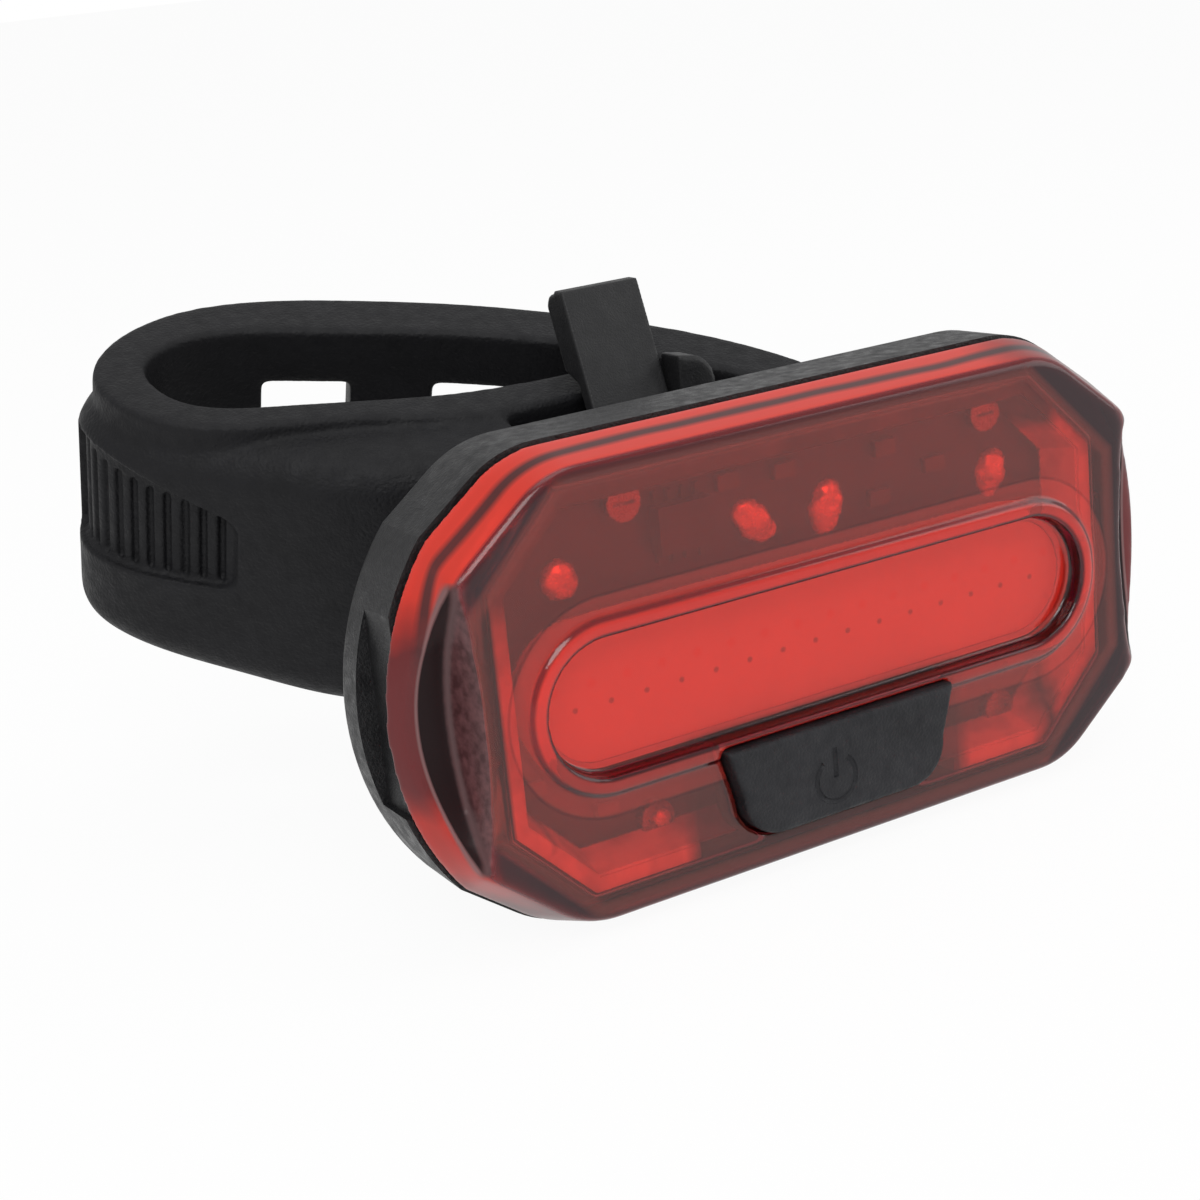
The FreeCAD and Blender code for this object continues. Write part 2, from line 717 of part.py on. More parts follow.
def make_bridge():
    """Left end: one sheet joins the upper spring to the lower stud."""
    body = new_body("contact_bridge", LAMP_AT)
    half = sheet_half()
    contact_sheet(body, -1, -size["cell_rise"] - half, size["cell_rise"] + half)
    dimple(body, -1, -size["cell_rise"])
    return body


# Strap, drawn in the plane across the seat post: x across, y forward, z along the post

SADDLE_FACE = -2.9
PILLOW_OUTER = ((-11.0, -8.6), (-20.2, -7.6), (-28.2, -3.3), (-33.2, 1.1), (-38.3, 5.5),
                (-41.4, 9.4), (-42.5, 13.0), (-41.8, 16.4), (-39.2, 20.0), (-34.8, 23.3),
                (-29.5, 24.7))
PILLOW_INNER = ((-28.6, 20.3), (-33.9, 19.3), (-36.9, 16.3), (-37.2, 12.6), (-35.6, 8.6),
                (-29.0, 4.9), (-20.0, 2.6), (-11.0, 0.3))
SADDLE_END = 1.0
BAND_OUTER = ((-11.0, SADDLE_FACE), (-15.5, -1.7), (-20.0, 0.0), (-27.7, 2.2), (-32.6, 3.3), (-36.6, 5.4),
              (-39.4, 8.6), (-40.6, 12.0), (-40.4, 15.8), (-38.4, 19.5), (-34.6, 22.6),
              (-29.5, 24.4), (-23.1, 24.2), (-12.8, 20.6), (-4.0, 16.2), (3.2, 11.5), (9.0, 7.0),
              (14.5, 1.4), (18.9, -5.4))
BAND_INNER = ((13.8, -7.6), (10.6, -3.4), (5.4, 1.8), (0.4, 5.9), (-7.7, 11.1), (-19.9, 16.6),
              (-25.0, 18.6), (-29.4, 19.2), (-33.2, 18.3), (-35.6, 16.0), (-36.1, 12.8),
              (-35.1, 9.6), (-32.6, 7.4), (-28.6, 6.0), (-22.4, 4.3), (-12.9, 2.0),
              (-4.0, SADDLE_FACE + size["saddle_thick"]), (SADDLE_END, SADDLE_FACE + size["saddle_thick"]))
PILLOW_TOP = ((-10.0, 10.6), (-46.0, 8.9))
PILLOW_BOTTOM = ((-10.0, -14.9), (-30.0, -14.0), (-46.0, -10.2))
PILLOW_ROUND = 3.5
GRIP_START = (-32.0, 0.0)
GRIP_FROM = (-33.6, 1.5)
GRIP_TO = (-42.2, 17.6)
GRIP_BOTTOM = -3.7
GRIP_TOP_FROM = 3.1
GRIP_TOP_TO = 7.2
GRIP_ROUND = 1.2
GROOVE_COUNT = 12
GROOVE_DEEP = 0.55
SLOT_START = (-23.7, 18.3)
SLOTS = 3
STUDS = ((-8.0, 6.0), (-8.0, -6.0))
STUD_RADIUS = 1.8
STUD_LONG = 2.2


def through(points):
    curve = Part.BSplineCurve()
    curve.interpolate([Vector(x, y, 0) for x, y in points])
    return curve


def closed_between(sketch, first, second, corner=None):
    """Two smooth runs joined by straight ends, the last one past a corner if there is one."""
    sketch.addGeometry(through(first))
    sketch.addGeometry(Part.LineSegment(Vector(*first[-1], 0), Vector(*second[0], 0)))
    sketch.addGeometry(through(second))
    last = Vector(*second[-1], 0)
    if corner:
        sketch.addGeometry(Part.LineSegment(last, Vector(*corner, 0)))
        last = Vector(*corner, 0)
    sketch.addGeometry(Part.LineSegment(last, Vector(*first[0], 0)))


def steps_along(curve, start, end, count):
    """Points evenly spaced along a curve, each with its direction."""
    first = curve.parameter(Vector(*start, 0))
    last = curve.parameter(Vector(*end, 0))
    run = curve.length(first, last)
    for index in range(count):
        where = curve.parameterAtDistance(run * index / (count - 1), first)
        along = Vector(*curve.tangent(where)[0])
        yield curve.value(where), along


def outward(along):
    """Normal on the outer side of a run that goes round the loop from the near side."""
    return Vector(-along.y, along.x, 0)


def grip_top(share):
    return GRIP_TOP_FROM * (1 - share) + GRIP_TOP_TO * share


def make_grip_cutter():
    """The recess and its grooves, which follow the outside of the curl."""
    curve = through(PILLOW_OUTER)
    steps = list(steps_along(curve, GRIP_START, GRIP_TO, 10))
    floor = [point - outward(along) * size["grip_deep"] for point, along in steps]
    clear = [point + outward(along) * 2 for point, along in steps]
    ring = new_body("GripRing")
    plan = new_sketch(ring, "XY_Plane", GRIP_BOTTOM)
    closed_between(plan, [(p.x, p.y) for p in floor], [(p.x, p.y) for p in reversed(clear)])
    pad(ring, plan, GRIP_TOP_TO - GRIP_BOTTOM, False)
    side = new_body("GripSide")
    profile = new_sketch(side, "XZ_Plane", 10)
    right = GRIP_FROM[0]
    inset = GRIP_ROUND * (1 - math.sqrt(0.5))
    chain(profile, (right - GRIP_ROUND, GRIP_BOTTOM),
          ((right - inset, GRIP_BOTTOM + inset), (right, GRIP_BOTTOM + GRIP_ROUND)),
          (right, GRIP_TOP_FROM - GRIP_ROUND),
          ((right - inset, GRIP_TOP_FROM - inset), (right - GRIP_ROUND, GRIP_TOP_FROM + 0.3)),
          (GRIP_TO[0], GRIP_TOP_TO), (GRIP_TO[0] - 5, GRIP_TOP_TO), (GRIP_TO[0] - 5, GRIP_BOTTOM))
    pad(side, profile, 40)
    recess = doc.addObject("Part::Common", "GripRecess")
    recess.Base = ring
    recess.Tool = side
    cutters = [recess]
    deep = size["grip_deep"] + GROOVE_DEEP
    for index, (point, along) in enumerate(steps_along(curve, GRIP_FROM, GRIP_TO, GROOVE_COUNT + 1)):
        if index == 0:
            continue
        groove = doc.addObject("Part::Box", "Groove")
        groove.setExpression("Length", "Sizes.groove_wide")
        groove.Width = 2 * deep
        groove.Height = grip_top(index / GROOVE_COUNT) - 0.3 - GRIP_BOTTOM
        turn = Rotation(Vector(0, 0, 1), math.degrees(math.atan2(along.y, along.x)))
        corner = Vector(-size["groove_wide"] / 2, -deep, GRIP_BOTTOM + 0.25)
        groove.Placement = Placement(point, turn).multiply(Placement(corner, Rotation()))
        cutters.append(groove)
    return cutters


def slot_frames():
    """Middle of each ladder slot on the inner face, with the directions along and outward."""
    curve = through(BAND_INNER)
    start = curve.parameter(Vector(*SLOT_START, 0))
    for index in range(SLOTS):
        middle = index * size["slot_pitch"] + size["slot_long"] / 2
        where = curve.parameterAtDistance(-middle, start)
        along = Vector(*curve.tangent(where)[0]) * -1
        yield curve.value(where), along, Vector(-along.y, along.x, 0)


def make_strap():
    band = new_body("Band")
    plan = new_sketch(band, "XY_Plane", -size["strap_half_wide"])
    closed_between(plan, BAND_OUTER, BAND_INNER, (SADDLE_END, SADDLE_FACE))
    pad(band, plan, "2 * Sizes.strap_half_wide", False)
    pillow = new_body("Pillow")
    plan = new_sketch(pillow, "XY_Plane", -16)
    closed_between(plan, PILLOW_OUTER, PILLOW_INNER)
    pad(pillow, plan, 32, False)
    trim = new_sketch(pillow, "XZ_Plane", 20)
    near, middle, far = PILLOW_BOTTOM
    chain(trim, (near[0], -20), near, (middle, far), (far[0], -20))
    near, far = PILLOW_TOP
    chain(trim, (near[0], 20), near, far, (far[0], 20))
    pocket(pillow, trim, 60)
    outer_curve = through(PILLOW_OUTER)

    def on_pillow_outside(edge, middle):
        flat = Vector(middle.x, middle.y, 0)
        near_curve = flat.distanceToPoint(outer_curve.value(outer_curve.parameter(flat))) < 1e-3
        return near_curve and abs(middle.z) > 8
    round_edges(pillow, PILLOW_ROUND, on_pillow_outside)
    whole = doc.addObject("Part::MultiFuse", "StrapWhole")
    whole.Shapes = [band, pillow]
    cutters = make_grip_cutter()
    for middle, along, out in slot_frames():
        slot = doc.addObject("Part::Box", "LadderSlot")
        slot.setExpression("Length", "Sizes.slot_long")
        slot.Width = 14
        slot.setExpression("Height", "Sizes.slot_high")
        turn = Rotation(Vector(0, 0, 1), math.degrees(math.atan2(along.y, along.x)))
        corner = Vector(-size["slot_long"] / 2, -3, -size["slot_high"] / 2)
        slot.Placement = Placement(middle, turn).multiply(Placement(corner, Rotation()))
        cutters.append(slot)
    for across, up in STUDS:
        hole = doc.addObject("Part::Cylinder", "StudHole")
        hole.Radius = STUD_RADIUS + size["snug_gap"]
        hole.Height = STUD_LONG + 0.2 + 0.5
        hole.Placement = Placement(Vector(across, -3.4, up), Rotation(Vector(1, 0, 0), -90))
        cutters.append(hole)
    tools = doc.addObject("Part::MultiFuse", "StrapCuts")
    tools.Shapes = cutters
    strap = doc.addObject("Part::Cut", "strap")
    strap.Label = "strap"
    strap.Base = whole
    strap.Tool = tools
    strap.Placement = POST_AT
    doc.recompute()
    return strap


# Bracket and lever

CHANNEL_TOP = 4.2
CHANNEL_FLOOR = 18.8
PIN_AT = (-10.55, -5.5)
PIN_RADIUS = 0.8
BARREL_RADIUS = 1.3
KINK = 4.6
LEAN = math.tan(math.radians(20))
ROOM_BACK = -7.3


def bracket_back():
    """Rear face of the bracket, just clear of the rubber."""
    return SADDLE_FACE - size["snug_gap"]


def rail_front():
    return -size["lamp_front"] + size["case_depth"]


def on_post(s, off):
    """Side view point of the post frame: s forward across the post, off along it."""
    tilt = math.radians(size["post_tilt"])
    return (s * math.cos(tilt) - off * math.sin(tilt), s * math.sin(tilt) + off * math.cos(tilt))


def make_bracket():
    core = new_body("BracketCore")
    gap = size["fit_gap"]
    front = rail_front() + gap
    side = new_sketch(core, "YZ_Plane", -size["bracket_half_wide"])
    high = on_post(bracket_back(), 9.2)
    low = on_post(bracket_back(), -11.0)
    chain(side, (front, -CHANNEL_FLOOR - 1.6), (front, CHANNEL_TOP), (-11.4, CHANNEL_TOP),
          (high[0] - 1.9, high[1]), high, low, ((-3.2, -17.4), (-9.0, -CHANNEL_FLOOR - 1.6)))
    pad(core, side, "2 * Sizes.bracket_half_wide", False)

    mouth = new_sketch(core, "XY_Plane", -CHANNEL_FLOOR)
    neck = size["neck_half_wide"] + gap
    rectangle(mouth, -neck, front - 1, neck, front + 1)
    pocket(core, mouth, CHANNEL_FLOOR + CHANNEL_TOP + 1, False)
    channel = new_sketch(core, "XY_Plane", -CHANNEL_FLOOR)
    head_front = rail_front() + size["neck_long"] - gap
    head_back = rail_front() + size["neck_long"] + size["rail_thick"] + gap
    wide = size["rail_half_wide"] + gap
    rectangle(channel, -wide, head_front, wide, head_back)
    pocket(core, channel, CHANNEL_FLOOR + CHANNEL_TOP + 1, False)

    room = new_sketch(core, "XY_Plane", PIN_AT[1] - BARREL_RADIUS - gap)
    half = size["lever_wide"] / 2 + gap
    middle = size["lever_middle"]
    rectangle(room, middle - half, head_back - 1, middle + half, ROOM_BACK)
    pocket(core, room, 30, False)
    pivot = new_sketch(core, "YZ_Plane", -size["bracket_half_wide"] - 1)
    circle(pivot, PIN_RADIUS + 0.05, *PIN_AT)
    pocket(core, pivot, 30, False)

    ear = new_sketch(core, "XZ_Plane", 11.2)
    chain(ear, (3.7, 0), (7.3, 0), (7.3, 9.4), ((6.5, 11.2), (5.0, 11.9)), (3.7, 12.1))
    pad(core, ear, 3.0)

    hook = new_body("Hook", POST_AT)
    plan = new_sketch(hook, "XY_Plane", -4.5)
    middle, along, out = list(slot_frames())[-1]
    thick = 6.2

    def spot(t, n):
        point = middle + along * t + out * n
        return (point.x, point.y)
    chain(plan, spot(0.0, -5.6), spot(3.6, -5.6), spot(3.6, thick + 0.3), spot(6.2, thick + 0.3),
          spot(6.2, thick + 1.9), spot(0.0, thick + 1.9))
    pad(hook, plan, 9, False)
    studs = []
    for across, up in STUDS:
        stud = doc.addObject("Part::Cylinder", "Stud")
        stud.Radius = STUD_RADIUS
        stud.Height = STUD_LONG + 1
        stud.Placement = POST_AT.multiply(
            Placement(Vector(across, bracket_back() - 1, up), Rotation(Vector(1, 0, 0), -90)))
        studs.append(stud)
    whole = doc.addObject("Part::MultiFuse", "bracket_base")
    whole.Label = "bracket_base"
    whole.Shapes = [core, hook] + studs
    doc.recompute()
    return whole


def make_lever():
    body = new_body("release_lever")
    left = size["lever_middle"] - size["lever_wide"] / 2
    side = new_sketch(body, "YZ_Plane", left)
    front = PIN_AT[0] - size["lever_thick"] / 2
    back = PIN_AT[0] + size["lever_thick"] / 2
    top = size["lever_top"]
    plate_back = front + size["lever_thick"] + (top - KINK) * LEAN
    block_low = 11.6
    block = 3.2

    def leaned(start, up):
        return (start + (up - KINK) * LEAN, up)
    chain(side, (front, PIN_AT[1]), (front, KINK), leaned(front, top), (plate_back - 0.2, top),
          leaned(front + size["lever_thick"], top - 0.3),
          (leaned(front + block - 0.5, top - 0.8), leaned(front + block, top - 2.2)),
          leaned(front + block, block_low), leaned(back, block_low - 0.9), (back, KINK), (back, PIN_AT[1]))
    pad(body, side, "Sizes.lever_wide", False)
    barrel = new_sketch(body, "YZ_Plane", left)
    circle(barrel, BARREL_RADIUS, *PIN_AT)
    pad(body, barrel, "Sizes.lever_wide", False)
    pin = new_sketch(body, "YZ_Plane", left - 2.2)
    circle(pin, PIN_RADIUS, *PIN_AT)
    pad(body, pin, "Sizes.lever_wide + 4.4", False)
    catch = new_sketch(body, "YZ_Plane", size["lever_middle"] - CATCH_HALF)
    chain(catch, (front + 0.2, 1.6), (front - 1.0, 2.2), (front - 1.0, 3.6), (front + 0.2, 3.8))
    pad(body, catch, 2 * CATCH_HALF, False)
    return body


parts = [
    make_lens(),
    make_seal(),
    make_tray(),
    strip_layer("cob_substrate", COB_FRONT, COB_THICK, 0.05),
    strip_layer("cob_phosphor", GEL_FRONT, COB_FRONT - DIE_THICK - 0.06 - GEL_FRONT, 0.05),
    make_dies(),
    make_board(),
    make_frame(),
    make_screws(),
    make_solder(),
    make_chip(),
    make_chips(),
    make_button(),
    make_switch(),
    make_plunger(),
    make_case(),
    make_cell("battery_upper", size["cell_rise"], 1),
    make_cell("battery_lower", -size["cell_rise"], -1),
    make_springs(),
    make_contacts(),
    make_bridge(),
    make_strap(),
    make_bracket(),
    make_lever(),
]

doc.recompute()
for item in doc.Objects:
    if "Invalid" in item.State or "Error" in item.State:
        raise ValueError("failed feature: " + item.Name)
os.makedirs("parts", exist_ok=True)
for part in parts:
    if part.Shape.isNull() or not part.Shape.isValid():
        raise ValueError("bad shape: " + part.Label)
for part in parts:
    part.Shape.exportStep("parts/" + part.Label + ".step")
    print(part.Label, "solids", len(part.Shape.Solids), "volume", round(part.Shape.Volume, 2))
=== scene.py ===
import math

import bmesh
import bpy
from mathutils import Matrix, Vector


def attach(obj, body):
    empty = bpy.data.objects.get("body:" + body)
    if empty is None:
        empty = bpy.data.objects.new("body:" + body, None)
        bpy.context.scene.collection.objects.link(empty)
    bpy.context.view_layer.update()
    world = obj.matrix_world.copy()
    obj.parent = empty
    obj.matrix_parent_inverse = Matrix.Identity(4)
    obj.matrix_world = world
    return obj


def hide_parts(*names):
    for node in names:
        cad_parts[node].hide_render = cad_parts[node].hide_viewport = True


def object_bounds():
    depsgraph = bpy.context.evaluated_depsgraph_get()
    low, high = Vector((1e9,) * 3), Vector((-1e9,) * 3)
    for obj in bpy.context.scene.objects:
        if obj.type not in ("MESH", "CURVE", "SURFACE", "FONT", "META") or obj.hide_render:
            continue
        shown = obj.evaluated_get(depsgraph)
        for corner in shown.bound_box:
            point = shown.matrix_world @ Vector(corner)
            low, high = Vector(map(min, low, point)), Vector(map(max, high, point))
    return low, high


# Bicycle tail light with a rubber seat post strap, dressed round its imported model.
# Metres, +Z up, +Y forward into the bicycle, the lens looks along -Y.

MM = 0.001
WELD = 0.001 * MM
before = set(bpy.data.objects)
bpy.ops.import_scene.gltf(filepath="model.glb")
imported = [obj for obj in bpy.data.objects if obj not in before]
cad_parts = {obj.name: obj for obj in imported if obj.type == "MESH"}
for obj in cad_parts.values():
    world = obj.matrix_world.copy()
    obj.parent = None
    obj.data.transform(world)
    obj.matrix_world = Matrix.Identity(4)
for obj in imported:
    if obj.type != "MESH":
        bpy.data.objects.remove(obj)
cad_low, cad_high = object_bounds()
scene = bpy.context.scene

# Places in the frame, in millimetres
LENS_FACE = -35.3
LAMP_MIDDLE = -6.5
BOARD_FACE = -28.9
BUTTON_FACE = -36.5


# Camera at the photograph's angle

AZIMUTH = math.radians(-30.227)
ELEVATION = math.radians(16.664)
ROLL = math.radians(-5.704)
TARGET = Vector((-20.58, -35.34, 1.01)) * MM
DISTANCE = 169.12 * MM
SENSOR_WIDE = 36
FOCAL_LENGTH = 69.32


def make_camera():
    back = Vector((math.sin(AZIMUTH) * math.cos(ELEVATION),
                   -math.cos(AZIMUTH) * math.cos(ELEVATION), math.sin(ELEVATION)))
    level = Vector((math.cos(AZIMUTH), math.sin(AZIMUTH), 0))
    upright = back.cross(level)
    right = level * math.cos(ROLL) + upright * math.sin(ROLL)
    up = upright * math.cos(ROLL) - level * math.sin(ROLL)
    lens = bpy.data.cameras.new("camera")
    lens.sensor_width = SENSOR_WIDE
    lens.lens = FOCAL_LENGTH
    lens.clip_start = 0.01
    lens.clip_end = 10
    camera = bpy.data.objects.new("camera", lens)
    scene.collection.objects.link(camera)
    turn = Matrix((right, up, back)).transposed()
    camera.matrix_world = Matrix.Translation(TARGET + back * DISTANCE) @ turn.to_4x4()
    scene.camera = camera


def area_light(name, place, aim, across, watts):
    lamp = bpy.data.lights.new(name, "AREA")
    lamp.shape = "RECTANGLE"
    lamp.size, lamp.size_y = across
    lamp.energy = watts
    light = bpy.data.objects.new(name, lamp)
    light.location = place
    light.rotation_euler = (Vector(aim) - Vector(place)).to_track_quat("-Z", "Y").to_euler()
    scene.collection.objects.link(light)


# Node helpers for the materials

def new_material(name):
    material = bpy.data.materials.new(name)
    material.use_nodes = True
    tree = material.node_tree
    shader = tree.nodes["Principled BSDF"]
    return material, tree, shader


def node(tree, kind, **settings):
    made = tree.nodes.new(kind)
    for name, value in settings.items():
        if name in made.inputs:
            made.inputs[name].default_value = value
        else:
            setattr(made, name, value)
    return made


def maths(tree, operation, first, second=None):
    made = node(tree, "ShaderNodeMath", operation=operation)
    for socket, value in zip(made.inputs, (first, second)):
        if isinstance(value, (int, float)):
            socket.default_value = value
        elif value is not None:
            tree.links.new(value, socket)
    return made.outputs[0]


def rising(tree, value, start, end):
    """0 below the start and 1 past the end, in the value's own unit."""
    made = node(tree, "ShaderNodeMapRange", clamp=True)
    tree.links.new(value, made.inputs["Value"])
    made.inputs["From Min"].default_value = start
    made.inputs["From Max"].default_value = end
    return made.outputs["Result"]


def without(tree, share):
    return maths(tree, "SUBTRACT", 1.0, share)


def falling(tree, value, start, end):
    """1 below the start and 0 past the end."""
    return without(tree, rising(tree, value, start, end))


def size_of(tree, value):
    return maths(tree, "ABSOLUTE", value)


def near(tree, value, middle, inner, outer):
    """1 close to the middle and 0 beyond the outer distance."""
    return falling(tree, size_of(tree, maths(tree, "SUBTRACT", value, middle)), inner, outer)


def chained(tree, operation, *values):
    whole = values[0]
    for value in values[1:]:
        whole = maths(tree, operation, whole, value)
    return whole


def both(tree, *shares):
    """Where all the shares hold."""
    return chained(tree, "MULTIPLY", *shares)


def largest(tree, *values):
    return chained(tree, "MAXIMUM", *values)


def length(tree, first, second):
    """Length of the slope whose two legs are given."""
    squares = [maths(tree, "MULTIPLY", leg, leg) for leg in (first, second)]
    return maths(tree, "SQRT", maths(tree, "ADD", *squares))


def adjusted(tree, operation, start, *steps):
    """The start value raised or lowered by each share times its amount."""
    for share, amount in steps:
        start = maths(tree, operation, start, maths(tree, "MULTIPLY", share, amount))
    return start


def mixed(tree, share, first, second):
    made = node(tree, "ShaderNodeMix", data_type="RGBA")
    tree.links.new(share, made.inputs["Factor"])
    for name, colour in (("A", first), ("B", second)):
        socket = [s for s in made.inputs if s.name == name and s.type == "RGBA"][0]
        if isinstance(colour, tuple):
            socket.default_value = (*colour, 1)
        else:
            tree.links.new(colour, socket)
    return [s for s in made.outputs if s.type == "RGBA"][0]


def noise(tree, scale, detail):
    place = node(tree, "ShaderNodeTexCoord")
    grain = node(tree, "ShaderNodeTexNoise", Scale=scale, Detail=detail)
    tree.links.new(place.outputs["Object"], grain.inputs["Vector"])
    return grain.outputs["Fac"]


def drifting(tree, scale, detail, reach):
    """Soft wander of half the reach to either side of 0."""
    return maths(tree, "MULTIPLY", maths(tree, "SUBTRACT", noise(tree, scale, detail), 0.5), reach)


def lamp_place(tree):
    """Across, depth behind the lens face and height above the lamp's middle, in millimetres."""
    place = node(tree, "ShaderNodeTexCoord")
    parts = node(tree, "ShaderNodeSeparateXYZ")
    tree.links.new(place.outputs["Object"], parts.inputs[0])
    across, forward, height = [maths(tree, "MULTIPLY", parts.outputs[axis], 1 / MM) for axis in "XYZ"]
    depth = maths(tree, "SUBTRACT", forward, LENS_FACE)
    up = maths(tree, "SUBTRACT", height, LAMP_MIDDLE)
    return across, depth, up


def ramp(tree, value, *stops):
    made = node(tree, "ShaderNodeValToRGB")
    band = made.color_ramp
    while len(band.elements) < len(stops):
        band.elements.new(0.5)
    for element, (place, colour) in zip(band.elements, stops):
        element.position = place
        element.color = (*colour, 1) if isinstance(colour, tuple) else (colour, colour, colour, 1)
    tree.links.new(value, made.inputs["Fac"])
    return made.outputs["Color"]


def bump(tree, shader, height, distance):
    made = node(tree, "ShaderNodeBump", Strength=1.0, Distance=distance)
    tree.links.new(height, made.inputs["Height"])
    tree.links.new(made.outputs["Normal"], shader.inputs["Normal"])


# Plastics, rubbers and metals

def grained(name, dark, light, rough, grain_scale, grain_height, spread=0.08, specular=0.5):
    """Moulded plastic or rubber: mottled colour, uneven gloss and a fine grain."""
    material, tree, shader = new_material(name)
    mottle = noise(tree, 260, 4)
    tree.links.new(ramp(tree, mottle, (0.3, dark), (0.7, light)), shader.inputs["Base Color"])
    gloss = noise(tree, 900, 3)
    tree.links.new(ramp(tree, gloss, (0.3, rough - spread), (0.7, rough + spread)),
                   shader.inputs["Roughness"])
    shader.inputs["Specular IOR Level"].default_value = specular
    bump(tree, shader, noise(tree, grain_scale, 4), grain_height)
    return material


case_plastic = grained("case_plastic", (0.010, 0.010, 0.011), (0.016, 0.016, 0.017), 0.46, 4500,
                       0.0001, 0.14, 0.4)
lever_plastic = grained("lever_plastic", (0.009, 0.009, 0.010), (0.014, 0.014, 0.015), 0.48, 5600,
                        0.00004, specular=0.35)
strap_rubber = grained("strap_rubber", (0.007, 0.007, 0.008), (0.009, 0.009, 0.0105), 0.56, 3200,
                       0.00012, specular=0.2)
button_rubber = grained("button_rubber", (0.008, 0.008, 0.010), (0.017, 0.017, 0.020), 0.55, 4000,
                        0.00012, 0.14, 0.3)
board_mask = grained("board_mask", (0.022, 0.024, 0.034), (0.05, 0.055, 0.075), 0.4, 1500, 0.00001)
white_plastic = grained("white_plastic", 0.82, 0.88, 0.45, 4000, 0.00001)
seal_rubber = grained("seal_rubber", 0.012, 0.02, 0.5, 6000, 0.00001)
chip_epoxy = grained("chip_epoxy", 0.02, 0.035, 0.45, 5000, 0.00001)
part_ceramic = grained("part_ceramic", (0.06, 0.045, 0.03), (0.12, 0.09, 0.06), 0.4, 5000, 0.00001)
strip_base = grained("strip_base", 0.55, 0.62, 0.3, 5000, 0.00001)


def metal(name, colour, rough, share=1.0, grain=4000):
    material, tree, shader = new_material(name)
    shader.inputs["Metallic"].default_value = share
    mottle = noise(tree, 700, 3)
    dull = tuple(0.82 * part for part in colour)
    tree.links.new(ramp(tree, mottle, (0.3, dull), (0.7, colour)), shader.inputs["Base Color"])
    streak = noise(tree, 2500, 3)
    tree.links.new(ramp(tree, streak, (0.3, rough - 0.06), (0.7, rough + 0.08)),
                   shader.inputs["Roughness"])
    bump(tree, shader, noise(tree, grain, 2), 0.00001)
    return material


solder_tin = metal("solder_tin", (1.0, 0.92, 0.8), 0.24, 0.35, 900)
screw_steel = metal("screw_steel", (0.34, 0.34, 0.35), 0.24)
spring_steel = metal("spring_steel", (0.62, 0.61, 0.58), 0.28)


def make_frame_plastic():
    """White plastic, plain white at both sides and in two patches below, and darkened elsewhere by
    painted shade.
    """
    material, tree, shader = new_material("frame_plastic")
    across, _, up = lamp_place(tree)
    drift = drifting(tree, 220, 3, 5.0)
    along = maths(tree, "ADD", across, drift)
    high = maths(tree, "ADD", up, drift)
    low = falling(tree, high, -11.5, -9.5)
    left = both(tree, falling(tree, along, -25.8, -24.4), falling(tree, high, 3.0, 9.0))
    right = both(tree, rising(tree, along, 24.0, 25.5), falling(tree, high, 11.0, 14.0))
    corner = both(tree, falling(tree, along, -9.0, -6.0), low)
    beside_button = both(tree, rising(tree, along, 11.0, 12.5), falling(tree, along, 21.0, 24.0), low)
    bright = largest(tree, left, right, corner, beside_button)
    white = ramp(tree, noise(tree, 330, 4), (0.32, 0.66), (0.58, 0.92))
    # Painted shade: near black where the white frame lies in shade, mixed over the white by the bright
    # share
    painted_frame_shade = ramp(tree, noise(tree, 260, 4), (0.3, 0.03), (0.7, 0.10))
    tree.links.new(mixed(tree, bright, painted_frame_shade, white), shader.inputs["Base Color"])
    tree.links.new(ramp(tree, noise(tree, 900, 3), (0.3, 0.38), (0.7, 0.52)), shader.inputs["Roughness"])
    bump(tree, shader, noise(tree, 4000, 3), 0.00001)
    return material


frame_plastic = make_frame_plastic()


def make_cell_sleeve():
    """Grey steel can with a plain dark sleeve and a bare ring near each end."""
    material, tree, shader = new_material("cell_sleeve")
    across, _, _ = lamp_place(tree)
    ends = rising(tree, size_of(tree, across), 17.5, 17.8)
    colour = mixed(tree, ends, (0.05, 0.06, 0.07), (0.55, 0.55, 0.56))
    tree.links.new(colour, shader.inputs["Base Color"])
    tree.links.new(ends, shader.inputs["Metallic"])
    tree.links.new(ramp(tree, noise(tree, 1200, 3), (0.3, 0.28), (0.7, 0.4)), shader.inputs["Roughness"])
    return material


cell_sleeve = make_cell_sleeve()


# Red lens: its places in millimetres from the lamp's middle

WINDOW_HALF = 20.57
WINDOW_DROP = 0.78
WINDOW_RADIUS = 5.4
LIP_RADIUS = 6.74
APRON_MIDDLE = 7.7
APRON_RADIUS = 8.65
SCOOP_IN = 30.9
SCOOP_FLOOR = 32.0
SCOOP_OUT = 34.7
SCOOP_BOW = 0.0187
SCOOP_HALF_HIGH = 10.8
SCOOP_DEEP = 3.9
HOLLOW_SHIFT = 0.8
HOLLOW_LONG = 30.1
HOLLOW_HIGH = 16.4
HOLLOW_CORNER = 38.5
BAY_LONG = 29.3
BAY_HIGH = 16.2
BAY_CORNER = 39.0
SEAL_DEPTH = 2.6
BUTTON_HALF_LONG = 13.0
BUTTON_TOP = -6.5

CLEAR_RED = (1.0, 0.17, 0.12)
# Painted shade for the lens's border, where the dark inside shows through
BORDER_SHADE_RED = (0.055, 0.012, 0.02)
# Painted shade and painted light for the lens's edge
DIM_EDGE = (0.10, 0.012, 0.018)
LIT_EDGE = (1.0, 0.05, 0.025)


def from_window(tree, across, up):
    """Distance from the window's long middle line."""
    past = maths(tree, "SUBTRACT", size_of(tree, across), WINDOW_HALF)
    return length(tree, maths(tree, "MAXIMUM", past, 0.0), maths(tree, "ADD", up, WINDOW_DROP))


